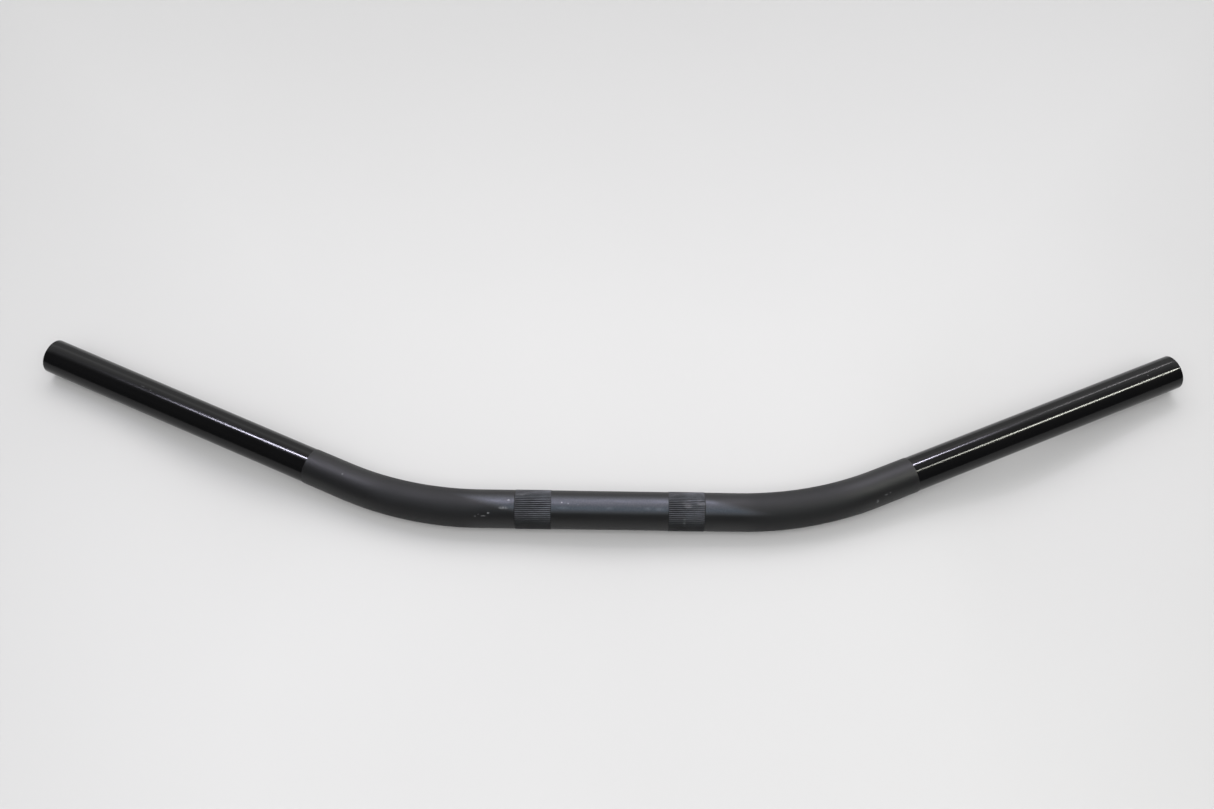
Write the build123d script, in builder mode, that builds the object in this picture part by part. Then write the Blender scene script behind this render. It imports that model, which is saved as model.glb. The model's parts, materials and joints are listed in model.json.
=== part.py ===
from build123d import *
import math
import os

os.makedirs("parts", exist_ok=True)

# Frame: X across the bar, +Y the way both ends sweep, +Z up out of the plane of the bends.
# Origin: the middle of the clamp section, on the tube's centreline. All sizes in mm.

# Bent tube, along its centreline
CLAMP_HALF = 79.0  # straight section, from the middle to the start of the bend
BEND_RADIUS = 204.0
BEND_ANGLE = 24.4
FULL_ANGLE = 7.0  # first part of the bend, which keeps the clamp section's diameter
NECK_LENGTH = 24.6  # straight tube between the bend and the edge of the textured coat
GRIP_LENGTH = 196.2  # gloss section under the grip or the throttle tube

# Tube diameters before coating, and what goes on or into them
GRIP_DIAMETER = 22.2
BEND_END_DIAMETER = 22.36
CLAMP_DIAMETER = 23.2
WALL = 2.1
COAT = 0.15
RIM_OUTER_RADIUS = 0.6
RIM_INNER_RADIUS = 0.4

# Straight knurl where the two risers clamp
KNURL_START = 35.3
KNURL_WIDTH = 22.2
KNURL_CREST_RADIUS = 11.93
KNURL_COUNT = 60
KNURL_GROOVE_SIDE = 0.64  # side of the square whose corner cuts each groove

# Inner weight in each end, measured inwards from the rim
WEIGHT_START = 10.0
WEIGHT_LENGTH = 100.0
WEIGHT_RADIUS = 7.0
HEAD_LENGTH = 6.0
HEAD_RADIUS = 8.2
DAMPER_SEAT_RADIUS = 5.5
DAMPER_SEAT_LENGTH = 10.0
OUTER_SEAT_START = 34.0
INNER_SEAT_START = 92.0
THREAD_RADIUS = 3.4  # tapping size for an M8 bar-end screw
THREAD_DEPTH = 32.0
THREAD_CHAMFER = 0.8

# Rubber damper ring: two ribs that reach the bore, with a waist between them
DAMPER_SIDE_GAP = 0.3
DAMPER_RIB_LENGTH = 3.0
DAMPER_WAIST_RADIUS = 8.3
DAMPER_LENGTH = DAMPER_SEAT_LENGTH - 2 * DAMPER_SIDE_GAP

# Spring retainer: a split sleeve round the weight with three ribs that grip the bore
RETAINER_START = 18.0
RETAINER_LENGTH = 12.0
RETAINER_RADIUS = WEIGHT_RADIUS + 0.05
RETAINER_THICKNESS = 0.7
RETAINER_RIB_COUNT = 3
RETAINER_RIB_WIDTH = 4.0
RETAINER_SLIT = 2.4

BORE_RADIUS = GRIP_DIAMETER / 2 - WALL
GRIP_RADIUS = GRIP_DIAMETER / 2
BEND_CENTRE = Vector(CLAMP_HALF, BEND_RADIUS, 0)
ALONG_LEG = Vector(1, 0, 0).rotate(Axis.Z, BEND_ANGLE)
BEND_END = BEND_CENTRE + Vector(0, -BEND_RADIUS, 0).rotate(Axis.Z, BEND_ANGLE)
COAT_EDGE = BEND_END + ALONG_LEG * NECK_LENGTH
RIM_CENTRE = COAT_EDGE + ALONG_LEG * GRIP_LENGTH


def across_leg(point):
    """A plane square to the outer leg, with its normal pointing out of the bar's end."""
    return Plane(origin=point, x_dir=(0, 0, 1), z_dir=ALONG_LEG)


# Inward from the rim: offsets on this plane are depths inside the tube's end
RIM_PLANE = Plane(origin=RIM_CENTRE, x_dir=(0, 0, 1), z_dir=-ALONG_LEG)


# ---------------------------------------------------------------- bar tube
with BuildPart() as bar_tube:
    # the coated outside first, then the bore through it
    for growth, mode in ((COAT, Mode.ADD), (-WALL, Mode.SUBTRACT)):
        with BuildSketch(Plane.YZ):
            Circle(CLAMP_DIAMETER / 2 + growth)
        extrude(amount=CLAMP_HALF, mode=mode)

        with BuildSketch(Plane.YZ.offset(CLAMP_HALF)):
            Circle(CLAMP_DIAMETER / 2 + growth)
        revolve(
            axis=Axis(BEND_CENTRE, (0, 0, 1)),
            revolution_arc=FULL_ANGLE,
            mode=mode,
        )

        # the rest of the bend, where the tube is drawn down towards the grip's size
        with BuildLine():
            draw_down = CenterArc(
                BEND_CENTRE,
                BEND_RADIUS,
                start_angle=FULL_ANGLE - 90,
                arc_size=BEND_ANGLE - FULL_ANGLE,
            )
        with BuildSketch(Plane(draw_down @ 0, x_dir=(0, 0, 1), z_dir=draw_down % 0)):
            Circle(CLAMP_DIAMETER / 2 + growth)
        with BuildSketch(Plane(draw_down @ 1, x_dir=(0, 0, 1), z_dir=draw_down % 1)):
            Circle(BEND_END_DIAMETER / 2 + growth)
        sweep(multisection=True, mode=mode)

        with BuildSketch(across_leg(BEND_END)):
            Circle(BEND_END_DIAMETER / 2 + growth)
        with BuildSketch(across_leg(COAT_EDGE)):
            Circle(GRIP_RADIUS + growth)
        loft(ruled=True, mode=mode)

        # the textured coat stops here: the grip section is bare gloss-painted tube
        with BuildSketch(across_leg(COAT_EDGE)):
            Circle(GRIP_RADIUS + min(growth, 0))
        extrude(amount=GRIP_LENGTH, mode=mode)

    # knurled band: the plain wall is cut away and a ridged ring takes its place
    with BuildSketch(Plane.YZ.offset(KNURL_START)):
        Circle(CLAMP_DIAMETER / 2 + COAT)
        Circle(CLAMP_DIAMETER / 2 - WALL, mode=Mode.SUBTRACT)
    extrude(amount=KNURL_WIDTH, mode=Mode.SUBTRACT)
    with BuildSketch(Plane.YZ.offset(KNURL_START)):
        Circle(KNURL_CREST_RADIUS)
        with PolarLocations(KNURL_CREST_RADIUS, KNURL_COUNT):
            Rectangle(
                KNURL_GROOVE_SIDE,
                KNURL_GROOVE_SIDE,
                rotation=45,
                mode=Mode.SUBTRACT,
            )
        Circle(CLAMP_DIAMETER / 2 - WALL, mode=Mode.SUBTRACT)
    extrude(amount=KNURL_WIDTH)

    outer_rim = edges().filter_by(GeomType.CIRCLE).sort_by_distance(RIM_CENTRE)[1]
    fillet(outer_rim, RIM_OUTER_RADIUS)
    inner_rim = edges().filter_by(GeomType.CIRCLE).sort_by_distance(RIM_CENTRE)[0]
    fillet(inner_rim, RIM_INNER_RADIUS)

    mirror(about=Plane.YZ)

bar_tube.part.label = "bar_tube"
export_step(bar_tube.part, "parts/bar_tube.step")


# ---------------------------------------------------------------- inner weight
with BuildPart() as inner_weight:
    with BuildSketch(RIM_PLANE.offset(WEIGHT_START)):
        Circle(WEIGHT_RADIUS)
    extrude(amount=WEIGHT_LENGTH)
    with BuildSketch(RIM_PLANE.offset(WEIGHT_START)):
        Circle(HEAD_RADIUS)
    extrude(amount=HEAD_LENGTH)
    for seat_start in (OUTER_SEAT_START, INNER_SEAT_START):
        with BuildSketch(RIM_PLANE.offset(seat_start)):
            Circle(WEIGHT_RADIUS)
            Circle(DAMPER_SEAT_RADIUS, mode=Mode.SUBTRACT)
        extrude(amount=DAMPER_SEAT_LENGTH, mode=Mode.SUBTRACT)
    with BuildSketch(RIM_PLANE.offset(WEIGHT_START)):
        Circle(THREAD_RADIUS)
    extrude(amount=THREAD_DEPTH, mode=Mode.SUBTRACT)
    mouth = edges().filter_by(GeomType.CIRCLE).sort_by_distance(RIM_CENTRE)[0]
    chamfer(mouth, THREAD_CHAMFER)


# ---------------------------------------------------------------- rubber dampers
with BuildPart() as damper_outer:
    with BuildSketch(RIM_PLANE.offset(OUTER_SEAT_START + DAMPER_SIDE_GAP)):
        Circle(BORE_RADIUS)
        Circle(DAMPER_SEAT_RADIUS, mode=Mode.SUBTRACT)
    extrude(amount=DAMPER_LENGTH)
    with BuildSketch(RIM_PLANE.offset(OUTER_SEAT_START + DAMPER_SIDE_GAP + DAMPER_RIB_LENGTH)):
        Circle(BORE_RADIUS)
        Circle(DAMPER_WAIST_RADIUS, mode=Mode.SUBTRACT)
    extrude(amount=DAMPER_LENGTH - 2 * DAMPER_RIB_LENGTH, mode=Mode.SUBTRACT)

with BuildPart() as damper_inner:
    with Locations(ALONG_LEG * (OUTER_SEAT_START - INNER_SEAT_START)):
        add(damper_outer.part)


# ---------------------------------------------------------------- spring retainer
with BuildPart() as retainer:
    with BuildSketch(RIM_PLANE.offset(RETAINER_START)):
        Circle(RETAINER_RADIUS + RETAINER_THICKNESS)
        with PolarLocations(RETAINER_RADIUS, RETAINER_RIB_COUNT):
            Rectangle(BORE_RADIUS, RETAINER_RIB_WIDTH)
        Circle(BORE_RADIUS, mode=Mode.INTERSECT)
        Circle(RETAINER_RADIUS, mode=Mode.SUBTRACT)
        with Locations((-RETAINER_RADIUS, 0)):
            Rectangle(BORE_RADIUS, RETAINER_SLIT, mode=Mode.SUBTRACT)
    extrude(amount=RETAINER_LENGTH)


# ---------------------------------------------------------------- both ends
# The blocks above are the +X end. Each is written out as it is and mirrored to the -X end.
end_pieces = {
    "inner_weight": inner_weight,
    "damper_outer": damper_outer,
    "damper_inner": damper_inner,
    "retainer": retainer,
}
for piece_name, piece in end_pieces.items():
    piece.part.label = f"{piece_name}_right"
    export_step(piece.part, f"parts/{piece_name}_right.step")

    with BuildPart() as mirrored:
        mirror(piece.part, about=Plane.YZ)

    mirrored.part.label = f"{piece_name}_left"
    export_step(mirrored.part, f"parts/{piece_name}_left.step")
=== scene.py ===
"""A bare motorcycle handlebar: one bent tube with straight-knurled clamp bands, a textured black centre
and gloss black grip sections, and the damped steel weights inside its two ends."""

import json
import math

import bpy
import numpy as np
from bpy.props import FloatProperty, FloatVectorProperty, IntProperty, PointerProperty
from bpy.types import Operator, Panel, PropertyGroup
from mathutils import Matrix, Vector


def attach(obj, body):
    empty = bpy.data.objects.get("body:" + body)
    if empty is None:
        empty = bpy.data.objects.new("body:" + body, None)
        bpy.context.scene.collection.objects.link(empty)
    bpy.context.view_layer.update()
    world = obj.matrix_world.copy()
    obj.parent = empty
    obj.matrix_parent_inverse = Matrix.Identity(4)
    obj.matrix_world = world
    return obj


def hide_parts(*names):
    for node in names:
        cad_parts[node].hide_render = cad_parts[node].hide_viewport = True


bl_info = {
    "name": "Motorcycle Handlebar",
    "version": (1, 0, 0),
    "blender": (4, 5, 0),
    "location": "3D View > Sidebar > Handlebar",
    "description": "Builds a bent-tube handlebar with knurled clamp bands and weighted ends",
    "category": "Object",
}

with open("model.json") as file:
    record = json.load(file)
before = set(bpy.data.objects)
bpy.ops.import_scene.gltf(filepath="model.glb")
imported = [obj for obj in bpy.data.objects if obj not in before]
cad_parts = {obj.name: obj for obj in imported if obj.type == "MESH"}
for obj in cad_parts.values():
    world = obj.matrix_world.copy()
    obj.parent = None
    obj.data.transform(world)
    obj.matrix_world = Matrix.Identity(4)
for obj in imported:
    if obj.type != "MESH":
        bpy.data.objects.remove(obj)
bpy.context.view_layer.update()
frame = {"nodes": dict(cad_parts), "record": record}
MOUNTS = {mount["name"]: mount for mount in frame["record"]["mounts"]}
MM = 0.001
AROUND = 480  # points round each ring of the tube
COAT_FACES, KNURL_FACES, GLOSS_FACES, BORE_FACES = range(4)  # the tube's materials, in this order


def mount_radius(name):
    """Radius of one of the record's mounts."""
    return MOUNTS[name]["dims"]["r_mm"] * MM


def mount_length(name):
    """Length of one of the record's mounts."""
    return MOUNTS[name]["dims"]["length_mm"] * MM


# ---------------------------------------------------------------- what a user would change


def length(label, words, default):
    return FloatProperty(
        name=label,
        description=words,
        default=default,
        min=0.0,
        unit="LENGTH",
        subtype="DISTANCE",
        precision=5,
    )


def colour(label, words, default):
    return FloatVectorProperty(
        name=label, description=words, default=default, size=3, min=0.0, max=1.0, subtype="COLOR"
    )


class HandlebarSizes(PropertyGroup):
    clamp_half: length("Clamp half", "Straight tube from the middle to the start of the bend", 79.0 * MM)
    bend_radius: length("Bend radius", "Radius of each bend, on the tube's centreline", 204.0 * MM)
    bend_angle: FloatProperty(
        name="Bend angle", description="Sweep of each outer leg", default=math.radians(24.4), subtype="ANGLE"
    )
    full_angle: FloatProperty(
        name="Full-size angle",
        description="First part of the bend, still at the clamp section's diameter",
        default=math.radians(7.0),
        subtype="ANGLE",
    )
    neck_length: length("Neck", "Straight coated tube between the bend and the grip section", 24.6 * MM)
    grip_length: length("Grip section", "Gloss tube from the coat's edge to the rim", 196.2 * MM)
    clamp_radius: length("Clamp radius", "Coated radius of the clamp section", mount_radius("centre_land"))
    bend_end_radius: length("Bend end radius", "Coated radius where the bend ends", 11.33 * MM)
    neck_radius: length("Neck radius", "Coated radius at the coat's edge", 11.25 * MM)
    grip_radius: length("Grip radius", "Radius of the grip section", mount_radius("grip_right"))
    wall: length("Wall", "Wall of the bare tube", 2.1 * MM)
    coat: length("Coat", "Thickness of the textured coat", 0.15 * MM)
    rim_outer: length("Outer rim radius", "Rounding of the rim's outer edge", 0.6 * MM)
    rim_inner: length("Inner rim radius", "Rounding of the rim's inner edge", 0.4 * MM)
    knurl_start: length("Knurl start", "Inner edge of each knurled band", mount_length("centre_land") / 2)
    knurl_width: length("Knurl width", "Width of each knurled band", mount_length("clamp_right"))
    knurl_crest: length("Knurl crest", "Radius over the ridges", mount_radius("clamp_right"))
    knurl_depth: length("Knurl depth", "Depth of the grooves", 0.42 * MM)
    knurl_count: IntProperty(
        name="Knurl grooves", description="Grooves round each knurled band", default=60, min=12
    )


class HandlebarFinishes(PropertyGroup):
    coat: colour("Textured coat", "Powder coat over the centre and bends", (0.006, 0.006, 0.0064))
    # partly real burnishing and partly a painted highlight: this lighter, bluer tone is laid only on the top
    # band where the overhead light reflects
    coat_rubbed_sheen: colour("Rubbed coat", "Where brackets have polished the coat", (0.070, 0.074, 0.084))
    scuff: colour("Scuffs", "Bright rubs and nicks in the coat", (0.30, 0.30, 0.31))
    # this worn ridge tone is laid with painted shade: it fades out on the knurl's front and underside
    knurl_worn: colour("Worn knurl", "Ridges rubbed through by the clamps", (0.135, 0.141, 0.156))
    gloss: colour("Gloss paint", "Grip sections", (0.0032, 0.0032, 0.0034))
    bore: colour("Bore", "Bare steel inside the tube", (0.11, 0.10, 0.095))
    zinc: colour("Weight", "Zinc-plated inner weight", (0.56, 0.55, 0.52))
    rubber: colour("Rubber", "Damper rings", (0.018, 0.018, 0.019))
    spring: colour("Spring steel", "Retainers", (0.40, 0.41, 0.44))
    floor: colour("Floor", "Studio floor", (0.60, 0.595, 0.59))


class HandlebarStage(PropertyGroup):
    camera_place: FloatVectorProperty(
        name="Camera",
        description="Where the camera stands",
        default=(0.00154, -0.41979, 0.74456),
        subtype="XYZ",
    )
    camera_look: FloatVectorProperty(
        name="Line of sight",
        description="Direction the camera looks",
        default=(-0.004876, 0.555482, -0.831513),
        subtype="XYZ",
    )
    camera_roll: FloatProperty(
        name="Roll",
        description="Camera's turn about its line of sight",
        default=0.00727,
        subtype="ANGLE",
    )
    camera_lens: FloatProperty(
        name="Lens",
        description="Focal length in mm on a 36 mm sensor",
        default=41.516,
    )
    ceiling: length("Ceiling", "Height of the ceiling lights", 1.5)
    strip_power: FloatProperty(
        name="Strip power",
        description="Power of a ceiling light, before its own factor",
        default=11.0,
    )
    fill: FloatProperty(name="Fill", description="Strength of the two soft fill lights", default=1.0)
    room_dim: FloatProperty(name="Dim side", description="Brightness of the room's unlit side", default=0.1)


# ---------------------------------------------------------------- node helpers


class Nodes:
    """A short way to write a material's node tree."""

    def __init__(self, name):
        self.material = bpy.data.materials.new(name)
        self.material.use_nodes = True
        self.tree = self.material.node_tree
        self.shader = self.tree.nodes["Principled BSDF"]
        self.place = self.add("ShaderNodeTexCoord").outputs["Object"]

    def add(self, kind, **settings):
        node = self.tree.nodes.new(kind)
        for key, value in settings.items():
            setattr(node, key, value)
        return node

    def put(self, socket, value):
        if isinstance(value, bpy.types.NodeSocket):
            self.tree.links.new(value, socket)
        else:
            socket.default_value = value

    def stretched(self, scale):
        """The place on the object, scaled differently along each axis."""
        node = self.add("ShaderNodeVectorMath", operation="MULTIPLY")
        self.put(node.inputs[0], self.place)
        node.inputs[1].default_value = scale
        return node.outputs[0]

    def noise(self, scale, detail, roughness=0.5, vector=None):
        node = self.add("ShaderNodeTexNoise")
        self.put(node.inputs["Vector"], vector or self.place)
        node.inputs["Scale"].default_value = scale
        node.inputs["Detail"].default_value = detail
        node.inputs["Roughness"].default_value = roughness
        return node.outputs["Fac"]

    def ramp(self, value, low, high, to_low=0.0, to_high=1.0):
        """Takes low to to_low and high to to_high, straight between them and level beyond."""
        node = self.add("ShaderNodeMapRange")
        self.put(node.inputs["Value"], value)
        for socket, number in zip(("From Min", "From Max", "To Min", "To Max"), (low, high, to_low, to_high)):
            node.inputs[socket].default_value = number
        return node.outputs["Result"]

    def maths(self, operation, first, second=0.0):
        """One step of arithmetic; an operation on a single number leaves the second alone."""
        node = self.add("ShaderNodeMath", operation=operation)
        self.put(node.inputs[0], first)
        self.put(node.inputs[1], second)
        return node.outputs[0]

    def mix(self, share, first, second):
        """The first colour, with this share of the second in its place."""
        node = self.add("ShaderNodeMix", data_type="RGBA")
        self.put(node.inputs["Factor"], share)
        for socket, value in ((node.inputs["A"], first), (node.inputs["B"], second)):
            self.put(socket, value if isinstance(value, bpy.types.NodeSocket) else (*value, 1.0))
        return node.outputs["Result"]

    def attribute(self, name):
        """A number stored on the mesh by paint()."""
        return self.add("ShaderNodeAttribute", attribute_name=name).outputs["Fac"]

    def bump(self, height, distance, strength):
        node = self.add("ShaderNodeBump")
        self.put(node.inputs["Height"], height)
        node.inputs["Distance"].default_value = distance
        node.inputs["Strength"].default_value = strength
        return node.outputs["Normal"]

    def scuffs(self, sizes, marks):
        """Small oval scuffs on the tube, full in the middle and faded out at the edge."""
        total = None
        for along, angle, length_along, length_round, strength in marks:
            points, directions = centreline(sizes, [along * MM])
            tangent = Vector(directions[0])
            back = Vector((-tangent.y, tangent.x, 0.0))
            outward = Matrix.Rotation(math.radians(angle), 3, tangent) @ back
            mark_axes = Matrix((tangent, outward.cross(tangent), outward)).transposed()
            half_lengths = (length_along / 2 * MM, length_round / 2 * MM, SCUFF_REACH)
            mapping = self.add("ShaderNodeMapping", vector_type="TEXTURE")
            self.put(mapping.inputs["Vector"], self.place)
            mapping.inputs["Location"].default_value = Vector(points[0]) + outward * sizes.clamp_radius
            mapping.inputs["Rotation"].default_value = mark_axes.to_euler()
            mapping.inputs["Scale"].default_value = half_lengths
            reach = self.add("ShaderNodeVectorMath", operation="LENGTH")
            self.put(reach.inputs[0], mapping.outputs["Vector"])
            mark = self.ramp(reach.outputs["Value"], 1.0, SCUFF_CORE, 0.0, strength)
            total = mark if total is None else self.maths("MAXIMUM", total, mark)
        return total

    def finish(self, **sockets):
        """Fills the shader's sockets, written with _ for a space, and returns the material."""
        for name, value in sockets.items():
            self.put(self.shader.inputs[name.replace("_", " ")], value)
        return self.material


def shade(tone, factor):
    """A colour made lighter or darker."""
    return tuple(channel * factor for channel in tone)


# ---------------------------------------------------------------- materials

SCUFF_REACH = 1.5 * MM  # how far above and below the skin a scuff still shows
SCUFF_CORE = 0.3  # share of a scuff's size that is at full strength

# each scuff: distance from the middle along the tube (mm, left is negative), angle up from straight back
# (degrees), length along the tube (mm), length round it (mm), strength
COAT_SCUFFS = (
    (-73, 132, 1.8, 1.3, 0.9),
    (-76, 141, 4.0, 1.0, 0.5),
    (-64, 116, 7.0, 2.2, 0.45),
    (-61, 92, 2.4, 1.6, 1.0),
    (-29, 97, 1.8, 1.4, 1.0),
    (-25, 100, 1.3, 1.1, 0.9),
    (-19, 104, 1.2, 1.0, 0.5),
    (-28, 114, 9.0, 2.2, 0.16),
    (0, 113, 6.0, 2.4, 0.16),
    (23, 113, 5.0, 2.6, 0.18),
    (30, 114, 7.0, 2.8, 0.2),
    (161, 157, 2.2, 3.8, 0.3),
    (167, 145, 3.0, 1.6, 0.3),
    (170, 143, 1.6, 1.4, 0.3),
    (-79, 137, 1.6, 1.2, 0.35),
    (-81, 142, 1.8, 1.6, 0.3),
    (-165, 98, 1.4, 1.8, 0.5),
)
GLOSS_SCUFFS = (
    (-313, 91, 4.0, 1.2, 0.12),
    (-307, 93, 2.0, 1.0, 0.2),
    (363, 95, 1.3, 1.1, 0.4),
    (-176, 85, 1.0, 1.2, 0.3),
)
KNURL_SCUFFS = (
    (-53, 70, 9.0, 2.4, 0.6),
    (47, 84, 4.5, 2.0, 0.9),
    (47, 101, 6.0, 5.0, 0.9),
    (45, 92, 5.0, 4.0, 0.6),
    (55, 96, 6.0, 3.0, 0.9),
    (54, 82, 4.0, 4.0, 0.6),
    (45, 150, 2.2, 11.0, 0.35),
)


def textured_coat(looks, sizes):
    """Satin powder coat with fine grain and uneven sheen, burnished between the clamps, where the top band
    also carries a lighter, bluer painted highlight, and scuffed.
    """
    n = Nodes("textured_coat")
    grain = n.noise(2100.0, 3.0, 0.6)
    cloud = n.noise(28.0, 3.0)
    fleck = n.noise(1100.0, 2.0, 0.6)
    # the rubbed patch is partly real wear and partly a painted highlight: its lighter, bluer, metallic tone
    # is kept to the top band facing the overhead light
    rubbed_sheen = n.attribute("rubbed_sheen")
    burnish_and_sheen = n.maths("MULTIPLY", rubbed_sheen, n.ramp(fleck, 0.3, 0.6, 0.5, 1.0))
    scuffed = n.maths("MULTIPLY", n.scuffs(sizes, COAT_SCUFFS), n.ramp(fleck, 0.36, 0.56))
    tone = n.mix(n.ramp(cloud, 0.35, 0.65, 0.0, 0.3), looks.coat, shade(looks.coat, 1.4))
    tone = n.mix(rubbed_sheen, tone, looks.coat_rubbed_sheen)
    tone = n.mix(scuffed, tone, looks.scuff)
    dulling = n.ramp(n.attribute("dull"), 0.0, 1.0, 0.0, 0.14)
    sheen = n.maths("ADD", n.ramp(cloud, 0.3, 0.7, 0.46, 0.51), dulling)
    return n.finish(
        Base_Color=tone,
        Metallic=n.ramp(burnish_and_sheen, 0.0, 1.0, 0.0, 0.9),
        Roughness=n.maths("SUBTRACT", sheen, n.maths("MULTIPLY", rubbed_sheen, 0.19)),
        IOR=1.46,
        Normal=n.bump(grain, 0.00012, 0.8),
    )


def worn_knurl(looks, sizes):
    """The coat over the knurl, with its ridges rubbed lighter and broken up into dashes, the lighter ridges
    fading out towards the front and underside as painted shade.
    """
    n = Nodes("worn_knurl")
    grain = n.noise(2200.0, 3.0, 0.6)
    dash = n.noise(520.0, 3.0, 0.55, n.stretched((0.35, 1.0, 1.0)))
    ridge = n.ramp(n.attribute("crest"), 0.35, 1.0)
    wear_and_shade = n.maths("MULTIPLY", n.ramp(dash, 0.3, 0.66, 0.45, 1.0), n.attribute("wear_and_shade"))
    scuffed = n.maths("MULTIPLY", n.scuffs(sizes, KNURL_SCUFFS), n.ramp(dash, 0.42, 0.56, 0.25, 1.0))
    share = n.maths("MULTIPLY", ridge, n.maths("MAXIMUM", wear_and_shade, scuffed))
    tone = n.mix(share, looks.coat, looks.knurl_worn)
    tone = n.mix(n.maths("MULTIPLY", scuffed, 0.35), tone, looks.scuff)
    return n.finish(
        Base_Color=tone,
        Metallic=n.ramp(share, 0.0, 1.0, 0.0, 0.9),
        Roughness=n.ramp(share, 0.0, 1.0, 0.46, 0.37),
        IOR=1.4,
        Normal=n.bump(grain, 0.00004, 0.6),
    )


def gloss_paint(looks, sizes):
    """Gloss black paint with a slight orange peel, a little haze and a few handling nicks."""
    n = Nodes("gloss_paint")
    peel = n.noise(220.0, 1.0)
    haze = n.noise(35.0, 3.0)
    tone = n.mix(haze, looks.gloss, shade(looks.gloss, 1.5))
    return n.finish(
        Base_Color=n.mix(n.scuffs(sizes, GLOSS_SCUFFS), tone, looks.scuff),
        Roughness=n.ramp(haze, 0.3, 0.7, 0.12, 0.16),
        IOR=1.33,
        Normal=n.bump(peel, 0.00002, 0.05),
    )


def bare_bore(looks):
    """Bare drawn steel inside the tube, dulled by oil and paint mist."""
    n = Nodes("bare_bore")
    streak = n.noise(90.0, 3.0)
    return n.finish(
        Base_Color=n.mix(streak, looks.bore, shade(looks.bore, 0.4)),
        Metallic=0.7,
        Roughness=n.ramp(streak, 0.3, 0.7, 0.45, 0.65),
        Normal=n.bump(streak, 0.00005, 0.4),
    )


def turned_steel(looks):
    """Zinc-plated steel with fine turning marks."""
    n = Nodes("turned_steel")
    marks = n.noise(1400.0, 2.0)
    stain = n.noise(70.0, 3.0)
    return n.finish(
        Base_Color=n.mix(stain, looks.zinc, shade(looks.zinc, 0.8)),
        Metallic=1.0,
        Roughness=n.ramp(stain, 0.3, 0.7, 0.28, 0.42),
        Normal=n.bump(marks, 0.00003, 0.3),
    )


def moulded_rubber(looks):
    """Matt black moulded rubber."""
    n = Nodes("moulded_rubber")
    skin = n.noise(900.0, 3.0)
    return n.finish(
        Base_Color=n.mix(skin, looks.rubber, shade(looks.rubber, 1.7)),
        Roughness=n.ramp(skin, 0.3, 0.7, 0.62, 0.78),
        Normal=n.bump(skin, 0.00005, 0.5),
    )


def spring_strip(looks):
    """Spring steel, slightly blued."""
    n = Nodes("spring_strip")
    tint = n.noise(140.0, 3.0)
    return n.finish(
        Base_Color=n.mix(tint, looks.spring, shade(looks.spring, 0.6)),
        Metallic=1.0,
        Roughness=n.ramp(tint, 0.3, 0.7, 0.25, 0.4),
        Normal=n.bump(tint, 0.00002, 0.3),
    )


# ---------------------------------------------------------------- mesh helpers


def centreline(sizes, along):
    """Points and directions of the tube's centreline at signed distances from the middle."""
    along = np.asarray(along, float)
    side = np.where(along < 0, -1.0, 1.0)
    run = np.abs(along)
    turned = np.clip((run - sizes.clamp_half) / sizes.bend_radius, 0.0, sizes.bend_angle)
    straight = np.minimum(run, sizes.clamp_half)
    leg = np.maximum(run - sizes.clamp_half - sizes.bend_radius * sizes.bend_angle, 0.0)
    x = straight + sizes.bend_radius * np.sin(turned) + leg * np.cos(turned)
    y = sizes.bend_radius * (1 - np.cos(turned)) + leg * np.sin(turned)
    points = np.stack([side * x, y, np.zeros_like(x)], 1)
    directions = np.stack([np.cos(turned), side * np.sin(turned), np.zeros_like(x)], 1)
    return points, directions


def ring_grid(points, directions, radii):
    """Vertices of rings round a path in the XY plane; radii has a row of points for each ring."""
    turn = np.linspace(0.0, 2 * math.pi, AROUND, endpoint=False)
    outward = np.stack([-directions[:, 1], directions[:, 0], directions[:, 2]], 1)
    upward = np.array([0.0, 0.0, 1.0])
    spoke = outward[:, None, :] * np.cos(turn)[None, :, None] + upward * np.sin(turn)[None, :, None]
    return points[:, None, :] + radii[:, :, None] * spoke


def ring_faces(rings):
    """Quads between neighbouring rings, and from the last ring back to the first, facing outwards."""
    ring, step = np.meshgrid(np.arange(rings), np.arange(AROUND), indexing="ij")
    after, beside = (ring + 1) % rings, (step + 1) % AROUND
    corners = [
        after * AROUND + step,
        after * AROUND + beside,
        ring * AROUND + beside,
        ring * AROUND + step,
    ]
    return np.stack([corner.ravel() for corner in corners], 1)


def smooth_object(name, vertices, faces, materials):
    """A smooth-shaded mesh object with its materials, in the scene."""
    mesh = bpy.data.meshes.new(name)
    mesh.from_pydata(vertices.reshape(-1, 3).tolist(), [], faces.tolist())
    for material in materials:
        mesh.materials.append(material)
    mesh.polygons.foreach_set("use_smooth", np.ones(len(mesh.polygons), bool))
    thing = bpy.data.objects.new(name, mesh)
    bpy.context.scene.collection.objects.link(thing)
    return thing


def paint(piece, name, values):
    """Stores one number per vertex, which the materials read."""
    layer = piece.data.attributes.new(name, "FLOAT", "POINT")
    layer.data.foreach_set("value", np.ascontiguousarray(values, np.float32).ravel())


def rounded_corner(centre_along, centre_radius, radius, start, end, steps):
    """(distance, radius) points of an arc, with angles in degrees from straight outwards towards the rim."""
    angles = np.radians(np.linspace(start, end, steps))
    return [(centre_along + radius * math.sin(a), centre_radius + radius * math.cos(a)) for a in angles]


# ---------------------------------------------------------------- the bent tube

SEAM = 0.3 * MM  # from a knurled band to the coat's nearest ring
RING_GAP = 1.5 * MM  # from one stretch of rings to the next
STEP_RADIUS = 0.1 * MM  # rounding of the coat's edge
STEP_GAP = 0.02 * MM  # from the coat's edge to the first ring of the gloss paint
KNURL_FADE = 0.5 * MM  # length over which the ridges rise at each end of a band
GROOVE_SHARE = 0.72  # share of the spacing that a groove takes
GROOVE_WANDER = 0.25  # how much shallower the grooves get in places
SHARP_EDGE = math.radians(35.0)


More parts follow.
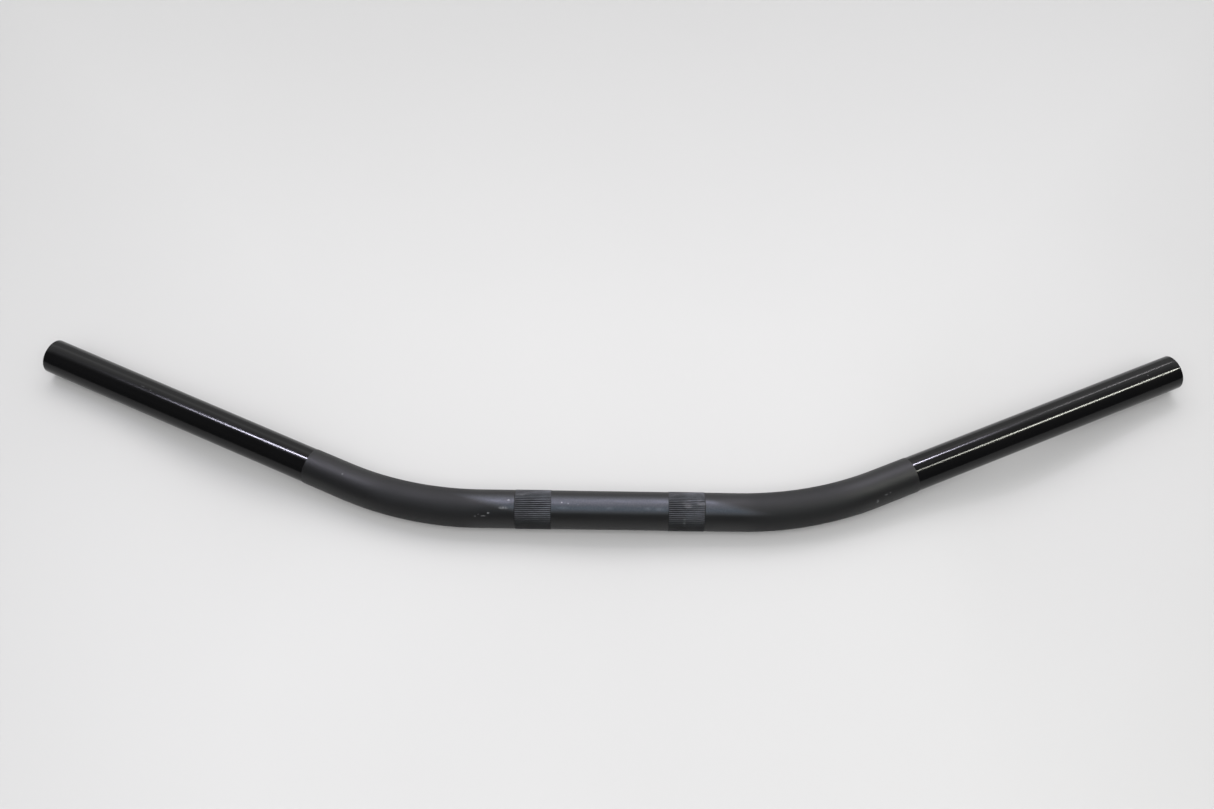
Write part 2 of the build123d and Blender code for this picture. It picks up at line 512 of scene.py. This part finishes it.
def bend_lengths(sizes):
    """Distances from the middle to where the full size ends, the bend ends, the coat ends and the rim is."""
    full_end = sizes.clamp_half + sizes.bend_radius * sizes.full_angle
    bend_end = sizes.clamp_half + sizes.bend_radius * sizes.bend_angle
    coat_edge = bend_end + sizes.neck_length
    return full_end, bend_end, coat_edge, coat_edge + sizes.grip_length


def outside_half(sizes):
    """The tube's outside from the middle to the right rim: distances, radii and the finish after each."""
    full_end, bend_end, coat_edge, rim = bend_lengths(sizes)
    knurl_end = sizes.knurl_start + sizes.knurl_width
    stretches = (
        (0.0, sizes.knurl_start - SEAM, 16, COAT_FACES),
        (sizes.knurl_start, knurl_end, 45, KNURL_FACES),
        (knurl_end + SEAM, full_end, 20, COAT_FACES),
        (full_end + RING_GAP, bend_end, 40, COAT_FACES),
        (bend_end + RING_GAP, coat_edge - STEP_RADIUS, 12, COAT_FACES),
    )
    along, finish = [], []
    for start, end, count, kind in stretches:
        along += np.linspace(start, end, count).tolist()
        finish += [kind] * count
    radii = np.interp(
        along,
        [0.0, full_end, bend_end, coat_edge],
        [sizes.clamp_radius, sizes.clamp_radius, sizes.bend_end_radius, sizes.neck_radius],
    )
    step = rounded_corner(
        coat_edge - STEP_RADIUS, sizes.neck_radius - STEP_RADIUS, STEP_RADIUS, 15, 90, 4
    )
    grip = [
        (distance, sizes.grip_radius)
        for distance in np.linspace(coat_edge + STEP_GAP, rim - sizes.rim_outer, 40)
    ]
    lip = rounded_corner(
        rim - sizes.rim_outer, sizes.grip_radius - sizes.rim_outer, sizes.rim_outer, 12, 90, 8
    )
    along = np.concatenate([along, [point[0] for point in step + grip + lip]])
    radii = np.concatenate([radii, [point[1] for point in step + grip + lip]])
    finish += [COAT_FACES] * len(step) + [GLOSS_FACES] * (len(grip) + len(lip))
    return along, radii, finish


def bore_half(sizes):
    """The tube's inside from the right rim back towards the middle: distances and radii."""
    full_end, bend_end, coat_edge, rim = bend_lengths(sizes)
    bore = sizes.grip_radius - sizes.wall
    skin = sizes.coat + sizes.wall
    lip = rounded_corner(rim - sizes.rim_inner, bore + sizes.rim_inner, sizes.rim_inner, 90, 180, 6)
    along = np.concatenate(
        [
            [rim - RING_GAP, rim - 60 * MM, rim - 120 * MM, coat_edge],
            np.linspace(bend_end, sizes.clamp_half, 30),
            [sizes.clamp_half / 2],
        ]
    )
    radii = np.interp(
        along,
        [full_end, bend_end, coat_edge],
        [sizes.clamp_radius - skin, sizes.bend_end_radius - skin, bore],
    )
    along = np.concatenate([[point[0] for point in lip], along])
    radii = np.concatenate([[point[1] for point in lip], radii])
    return along, radii


def tube_profile(sizes):
    """Distance, radius and finish of every ring, round the whole wall: the right half from the middle out
    and back through the bore, then the left half the other way."""
    outside_along, outside_radii, outside_finish = outside_half(sizes)
    bore_along, bore_radii = bore_half(sizes)
    half_along = np.concatenate([outside_along, bore_along])
    half_radii = np.concatenate([outside_radii, bore_radii])
    half_finish = outside_finish + [BORE_FACES] * len(bore_along)
    along = np.concatenate([half_along, [0.0], -half_along[:0:-1]])
    radii = np.concatenate([half_radii, half_radii[-1:], half_radii[:0:-1]])
    finish = half_finish + [BORE_FACES] + half_finish[:-1][::-1]
    return along, radii, np.array(finish, np.int32)


def knurl_shape(sizes, along, radii):
    """Radius at every step round, with the grooves cut, and how near each point is to a ridge's crest."""
    turn = np.arange(AROUND) / AROUND
    middle = sizes.knurl_start + sizes.knurl_width / 2
    inside = np.clip((sizes.knurl_width / 2 - np.abs(np.abs(along) - middle)) / KNURL_FADE, 0.0, 1.0)
    phase = (turn * sizes.knurl_count) % 1.0
    ridge = np.clip(np.abs(phase - 0.5) * 2 / GROOVE_SHARE, 0.0, 1.0)
    # three waves of depth round the tube, turning slowly along it and shifted between the two bands
    slow_turn = turn * 2 * math.pi * 3 + np.sign(along)[:, None] * 1.3 + along[:, None] * 180.0
    depth_share = np.clip(1 + GROOVE_WANDER * np.sin(slow_turn), 0.5, 1.0)
    lift = (sizes.knurl_crest - sizes.clamp_radius) * inside
    groove = sizes.knurl_depth * inside[:, None] * (1 - ridge[None, :]) * depth_share
    crest = np.where(inside[:, None] > 0, ridge[None, :], 0.0)
    return radii[:, None] + lift[:, None] - groove, crest


def smooth(values, low, high):
    """0 below low, 1 above high, with a smooth step between; works downwards if high is the smaller."""
    share = np.clip((values - low) / (high - low), 0.0, 1.0)
    return share * share * (3 - 2 * share)


def wear_masks(along):
    """Where the coat is burnished, partly as a painted highlight on its top band, where it is dullest, and
    how worn each part of the knurl is, with painted shade fading that wear towards the knurl's front and
    underside.
    Distances are in mm from the middle, with left negative, and angles in degrees up from straight back."""
    along = along[:, None] / MM
    turn = np.arange(AROUND)[None, :] * 360.0 / AROUND
    lean = (turn - 100.0) * 0.7  # the burnished patch, partly a painted highlight: its ends slant, further to the right towards the front
    rubbed_sheen = smooth(along, -82 + lean, -66 + lean) * smooth(along, 82 + lean, 64 + lean)
    # painted highlight: the patch is kept to the band between 66 and 133 degrees, where the overhead light
    # reflects
    rubbed_sheen = rubbed_sheen * smooth(turn, 66.0, 90.0) * smooth(turn, 133.0, 115.0)
    run = np.abs(along)
    dull = smooth(run, 76.0, 92.0) * smooth(run, 158.0, 132.0) * np.ones_like(turn)
    left_wear = 0.6 + 0.35 * smooth(along, -52.0, -40.0)
    right_wear = 0.6 + 0.4 * smooth(along, 42.0, 50.0)
    # painted shade: the worn ridges' lighter tone fades out towards the front and underside
    top_lit_share = 0.1 + 0.9 * smooth(turn, 162.0, 132.0)
    wear_and_shade = np.where(along < 0, left_wear, right_wear) * top_lit_share
    return {"rubbed_sheen": rubbed_sheen, "dull": dull, "wear_and_shade": wear_and_shade}


class HANDLEBAR_OT_tube(Operator):
    """Build the bent tube with its knurled bands, coat edge, rims and bore"""

    bl_idname = "handlebar.tube"
    bl_label = "Bent Tube"

    def execute(self, context):
        sizes, looks = context.scene.handlebar_sizes, context.scene.handlebar_finishes
        along, radii, finish = tube_profile(sizes)
        surface, crest = knurl_shape(sizes, along, radii)
        in_bore = radii < sizes.grip_radius - sizes.wall / 2
        surface[in_bore] = radii[in_bore, None]
        crest[in_bore] = 0.0
        tube = smooth_object(
            "bent_tube",
            ring_grid(*centreline(sizes, along), surface),
            ring_faces(len(along)),
            [
                textured_coat(looks, sizes),
                worn_knurl(looks, sizes),
                gloss_paint(looks, sizes),
                bare_bore(looks),
            ],
        )
        tube.data.polygons.foreach_set("material_index", np.repeat(finish, AROUND))
        tube.data.set_sharp_from_angle(angle=SHARP_EDGE)
        tube.data.validate()
        tube.data.update()
        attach(tube, "root")
        paint(tube, "crest", crest)
        for name, values in wear_masks(along).items():
            paint(tube, name, values)
        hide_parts("bar_tube")
        return {"FINISHED"}


# ---------------------------------------------------------------- the pieces inside the ends


def dress(node_name, material):
    """Puts a material on a CAD node."""
    node = frame["nodes"][node_name]
    node.data.materials.clear()
    node.data.materials.append(material)


class HANDLEBAR_OT_weights(Operator):
    """Finish the two inner weights"""

    bl_idname = "handlebar.weights"
    bl_label = "Inner Weights"

    def execute(self, context):
        steel = turned_steel(context.scene.handlebar_finishes)
        for name in ("inner_weight_left", "inner_weight_right"):
            dress(name, steel)
        return {"FINISHED"}


class HANDLEBAR_OT_dampers(Operator):
    """Finish the four rubber damper rings"""

    bl_idname = "handlebar.dampers"
    bl_label = "Damper Rings"

    def execute(self, context):
        rubber = moulded_rubber(context.scene.handlebar_finishes)
        for name in ("damper_inner_left", "damper_inner_right", "damper_outer_left", "damper_outer_right"):
            dress(name, rubber)
        return {"FINISHED"}


class HANDLEBAR_OT_retainers(Operator):
    """Finish the two spring retainers"""

    bl_idname = "handlebar.retainers"
    bl_label = "Spring Retainers"

    def execute(self, context):
        spring = spring_strip(context.scene.handlebar_finishes)
        for name in ("retainer_left", "retainer_right"):
            dress(name, spring)
        return {"FINISHED"}


# ---------------------------------------------------------------- the stage

# lights on the ceiling, which only reflections show: the ends of each one's middle line, its width, how many
# times the strip power it has, its tint, and the share of its length over which each end dims
CEILING_LIGHTS = {
    "left_strip": {
        "ends": ((-0.53, 0.60), (-1.07, 0.44)),
        "width": 0.075,
        "power": 2.0,
        "tint": (0.84, 0.82, 1.0),
        "fade": (0.12, 0.70),
    },
    "back_strip": {
        "ends": ((0.41, 1.02), (0.625, 1.27)),
        "width": 0.08,
        "power": 1.75,
        "tint": (0.87, 0.83, 1.0),
        "fade": (0.10, 0.75),
    },
    "right_strip": {
        "ends": ((0.80, -0.20), (1.75, 0.21)),
        "width": 0.08,
        "power": 2.1,
        "tint": (1.0, 1.0, 0.90),
        "fade": (0.48, 0.1),
    },
    "far_strip": {
        "ends": ((0.62, 1.50), (1.15, 1.87)),
        "width": 0.06,
        "power": 0.29,
        "tint": (1.0, 0.97, 1.0),
        "fade": (0.5, 0.1),
    },
    "front_panel": {
        "ends": ((0.07, -1.26), (0.03, -0.15)),
        "width": 0.33,
        "power": 0.30,
        "tint": (0.70, 0.88, 1.0),
        "fade": (0.04, 0.01),
    },
    "back_panel": {
        "ends": ((0.03, -0.15), (-0.03, 1.05)),
        "width": 0.33,
        "power": 0.20,
        "tint": (1.0, 0.90, 1.0),
        "fade": (0.01, 0.2),
    },
}

# soft lights that only the matt surfaces show, turned towards the bar by the tilt in degrees
FILL_LIGHTS = {
    "front_fill": {"y": -1.0, "z": 1.8, "tilt": 29.0, "power": 28.0},
    "back_fill": {"y": 1.15, "z": 1.75, "tilt": -33.0, "power": 22.0},
}
FILL_HALF_LENGTH = 1.5
FILL_WIDTH = 1.2
FILL_TINT = (1.0, 0.98, 0.965)
FILL_FADE = (0.15, 0.15)

PLAIN_GLOW = (0.66, 0.68, 0.70, 1.0)  # what the camera and the matt surfaces see of the room
# the room's brightness by height, from level (0) to straight up (1)
ROOM_GLOW = ((0.0, 0.50), (0.25, 0.55), (0.45, 0.85), (0.61, 1.7), (0.66, 1.2), (0.78, 1.0), (0.88, 0.3))
LIT_WALL = 2.0  # brightness of the room's lit side, where room_dim is that of the other side

FLOOR_HALF = 3.0
FLOOR_FAR_SHADE = (0.15, 0.65)  # painted shade on the floor, from here to here, away from the camera
FLOOR_SIDE_SHADE = (0.2, 0.5)  # painted shade on the floor, from here to here, outwards from the middle
# shallow dips under the middle and the two legs: place, depth in mm, and reach across and along
FLOOR_DIPS = (
    (0.0, 0.0, 2.0, 0.045, 0.12),
    (-0.24, 0.05, 8.0, 0.06, 0.13),
    (0.26, 0.06, 12.0, 0.07, 0.13),
)


def area_light(name, start, end, width, power, tint, fade):
    """A long flat light from one point to another, facing straight down and dimmer towards its two ends."""
    start, end = Vector(start), Vector(end)
    data = bpy.data.lights.new(name, "AREA")
    data.shape = "RECTANGLE"
    data.size = (end - start).length
    data.size_y = width
    data.energy = power
    data.color = tint
    data.use_nodes = True
    tree = data.node_tree
    along = tree.nodes.new("ShaderNodeSeparateXYZ")
    tree.links.new(tree.nodes.new("ShaderNodeNewGeometry").outputs["Parametric"], along.inputs[0])
    both = tree.nodes.new("ShaderNodeMath")
    both.operation = "MULTIPLY"
    for socket, dark, full in zip(both.inputs, (0.0, 1.0), (fade[0], 1.0 - fade[1])):
        dim = tree.nodes.new("ShaderNodeMapRange")
        dim.interpolation_type = "SMOOTHSTEP"
        dim.inputs["From Min"].default_value = dark
        dim.inputs["From Max"].default_value = full
        tree.links.new(along.outputs["X"], dim.inputs["Value"])
        tree.links.new(dim.outputs["Result"], socket)
    tree.links.new(both.outputs[0], tree.nodes["Emission"].inputs["Strength"])
    light = bpy.data.objects.new(name, data)
    turn = math.atan2(end.y - start.y, end.x - start.x)
    light.matrix_world = Matrix.Translation((start + end) / 2) @ Matrix.Rotation(turn, 4, "Z")
    bpy.context.scene.collection.objects.link(light)
    return light


def ceiling_lights(stage):
    """The lines and the broad sheen that the paint reflects."""
    for name, light in CEILING_LIGHTS.items():
        start, end = [(*place, stage.ceiling) for place in light["ends"]]
        power = stage.strip_power * light["power"]
        strip = area_light(name, start, end, light["width"], power, light["tint"], light["fade"])
        strip.visible_diffuse = False


def fill_lights(stage):
    """Soft light from in front and from behind, for the floor and its shadows."""
    for name, light in FILL_LIGHTS.items():
        start, end = [(x, light["y"], light["z"]) for x in (-FILL_HALF_LENGTH, FILL_HALF_LENGTH)]
        fill = area_light(name, start, end, FILL_WIDTH, light["power"] * stage.fill, FILL_TINT, FILL_FADE)
        tilt = Matrix.Rotation(math.radians(light["tilt"]), 4, "X")
        fill.matrix_world = fill.matrix_world @ tilt
        fill.visible_glossy = False


def room(stage):
    """Reflections see a dim room with a lit wall behind; the floor and the camera see an even pale glow."""
    world = bpy.data.worlds.new("room")
    world.use_nodes = True
    tree = world.node_tree
    plain = tree.nodes["Background"]
    plain.inputs["Color"].default_value = PLAIN_GLOW
    lit = tree.nodes.new("ShaderNodeBackground")
    direction = tree.nodes.new("ShaderNodeTexCoord").outputs["Generated"]
    split = tree.nodes.new("ShaderNodeSeparateXYZ")
    tree.links.new(direction, split.inputs[0])

    by_height = tree.nodes.new("ShaderNodeValToRGB")
    elements = by_height.color_ramp.elements
    steps = [elements[0], elements[1]] + [elements.new(0.5) for _ in ROOM_GLOW[2:]]
    for step, (position, glow) in zip(steps, ROOM_GLOW):
        step.position = position
        step.color = (glow / 2, glow / 2, glow / 2, 1.0)
    tree.links.new(split.outputs["Z"], by_height.inputs["Fac"])

    behind = tree.nodes.new("ShaderNodeMapRange")
    behind.interpolation_type = "SMOOTHSTEP"
    behind.inputs["From Min"].default_value = -0.05
    behind.inputs["From Max"].default_value = 0.35
    behind.inputs["To Min"].default_value = stage.room_dim
    behind.inputs["To Max"].default_value = LIT_WALL
    tree.links.new(split.outputs["Y"], behind.inputs["Value"])
    tree.links.new(by_height.outputs["Color"], lit.inputs["Color"])
    tree.links.new(behind.outputs["Result"], lit.inputs["Strength"])

    path = tree.nodes.new("ShaderNodeLightPath")
    sees_plain = tree.nodes.new("ShaderNodeMath")
    sees_plain.operation = "MAXIMUM"
    tree.links.new(path.outputs["Is Camera Ray"], sees_plain.inputs[0])
    tree.links.new(path.outputs["Is Diffuse Ray"], sees_plain.inputs[1])
    blend = tree.nodes.new("ShaderNodeMixShader")
    tree.links.new(sees_plain.outputs[0], blend.inputs["Fac"])
    tree.links.new(lit.outputs[0], blend.inputs[1])
    tree.links.new(plain.outputs[0], blend.inputs[2])
    tree.links.new(blend.outputs[0], tree.nodes["World Output"].inputs["Surface"])
    return world


def studio_camera(stage):
    """The camera, above and in front of the bar."""
    camera = bpy.data.objects.new("camera", bpy.data.cameras.new("camera"))
    camera.data.sensor_width = 36.0
    camera.data.lens = stage.camera_lens
    look = Vector(stage.camera_look).normalized()
    upright = look.to_track_quat("-Z", "Y").to_matrix().to_4x4()
    roll = Matrix.Rotation(stage.camera_roll, 4, "Z")
    camera.matrix_world = Matrix.Translation(stage.camera_place) @ upright @ roll
    bpy.context.scene.collection.objects.link(camera)
    return camera


def studio_paper(looks):
    """Matt pale paper, faintly uneven, with painted shade darkening it far off and at the sides."""
    n = Nodes("studio_floor")
    cloud = n.noise(3.0, 3.0)
    split = n.add("ShaderNodeSeparateXYZ")
    n.put(split.inputs[0], n.place)
    tone = n.mix(n.ramp(cloud, 0.3, 0.7), looks.floor, shade(looks.floor, 0.97))
    # painted shade: the paper's colour is darkened away from the camera and towards the sides
    far = n.ramp(split.outputs["Y"], *FLOOR_FAR_SHADE, 0.0, 0.85)
    sides = n.ramp(n.maths("ABSOLUTE", split.outputs["X"]), *FLOOR_SIDE_SHADE, 0.0, 0.6)
    dark = n.maths("MAXIMUM", far, sides)
    return n.finish(Base_Color=n.mix(dark, tone, shade(looks.floor, 0.78)), Roughness=0.6)


def floor_lines(near, far, count):
    """Where the floor's grid lines run: close together from near to far, and wide apart beyond them."""
    before = np.linspace(-FLOOR_HALF, near, 20)[:-1]
    after = np.linspace(far, FLOOR_HALF, 20)[1:]
    return np.concatenate([before, np.linspace(near, far, count), after])


def studio_floor(sizes, looks):
    """The floor, level with the underside of the knurled bands apart from its dips."""
    x, y = np.meshgrid(floor_lines(-0.5, 0.5, 126), floor_lines(-0.3, 0.5, 101))
    z = np.full_like(x, -sizes.knurl_crest)
    for dip_x, dip_y, depth, across, along in FLOOR_DIPS:
        z -= depth * MM * np.exp(-(((x - dip_x) / across) ** 2) - ((y - dip_y) / along) ** 2)
    index = np.arange(x.size).reshape(x.shape)
    corners = [index[:-1, :-1], index[:-1, 1:], index[1:, 1:], index[1:, :-1]]
    faces = np.stack(corners, 2).reshape(-1, 4)
    return smooth_object("studio_floor", np.stack([x, y, z], 2), faces, [studio_paper(looks)])


class HANDLEBAR_OT_stage(Operator):
    """Set up the pale floor, the soft lights and the camera"""

    bl_idname = "handlebar.stage"
    bl_label = "Stage"

    def execute(self, context):
        scene, stage = context.scene, context.scene.handlebar_stage
        studio_floor(scene.handlebar_sizes, scene.handlebar_finishes)
        ceiling_lights(stage)
        fill_lights(stage)
        scene.world = room(stage)
        scene.camera = studio_camera(stage)
        scene.view_settings.view_transform = "Standard"
        return {"FINISHED"}


# ---------------------------------------------------------------- the add-on


class HANDLEBAR_PT_panel(Panel):
    bl_label = "Handlebar"
    bl_idname = "HANDLEBAR_PT_panel"
    bl_space_type = "VIEW_3D"
    bl_region_type = "UI"
    bl_category = "Handlebar"

    def draw(self, context):
        for operator in OPERATORS:
            self.layout.operator(operator.bl_idname)
        for settings in SETTINGS:
            group = getattr(context.scene, settings)
            box = self.layout.box()
            for name in group.__annotations__:
                box.prop(group, name)


OPERATORS = (
    HANDLEBAR_OT_tube,
    HANDLEBAR_OT_weights,
    HANDLEBAR_OT_dampers,
    HANDLEBAR_OT_retainers,
    HANDLEBAR_OT_stage,
)
SETTINGS = {
    "handlebar_sizes": HandlebarSizes,
    "handlebar_finishes": HandlebarFinishes,
    "handlebar_stage": HandlebarStage,
}


def register():
    for cls in (*SETTINGS.values(), *OPERATORS, HANDLEBAR_PT_panel):
        bpy.utils.register_class(cls)
    for name, group in SETTINGS.items():
        setattr(bpy.types.Scene, name, PointerProperty(type=group))


def unregister():
    for name in SETTINGS:
        delattr(bpy.types.Scene, name)
    for cls in (HANDLEBAR_PT_panel, *reversed(OPERATORS), *SETTINGS.values()):
        bpy.utils.unregister_class(cls)


def main():
    register()
    bpy.ops.handlebar.tube()
    bpy.ops.handlebar.weights()
    bpy.ops.handlebar.dampers()
    bpy.ops.handlebar.retainers()
    bpy.ops.handlebar.stage()


if __name__ == "__main__":
    main()
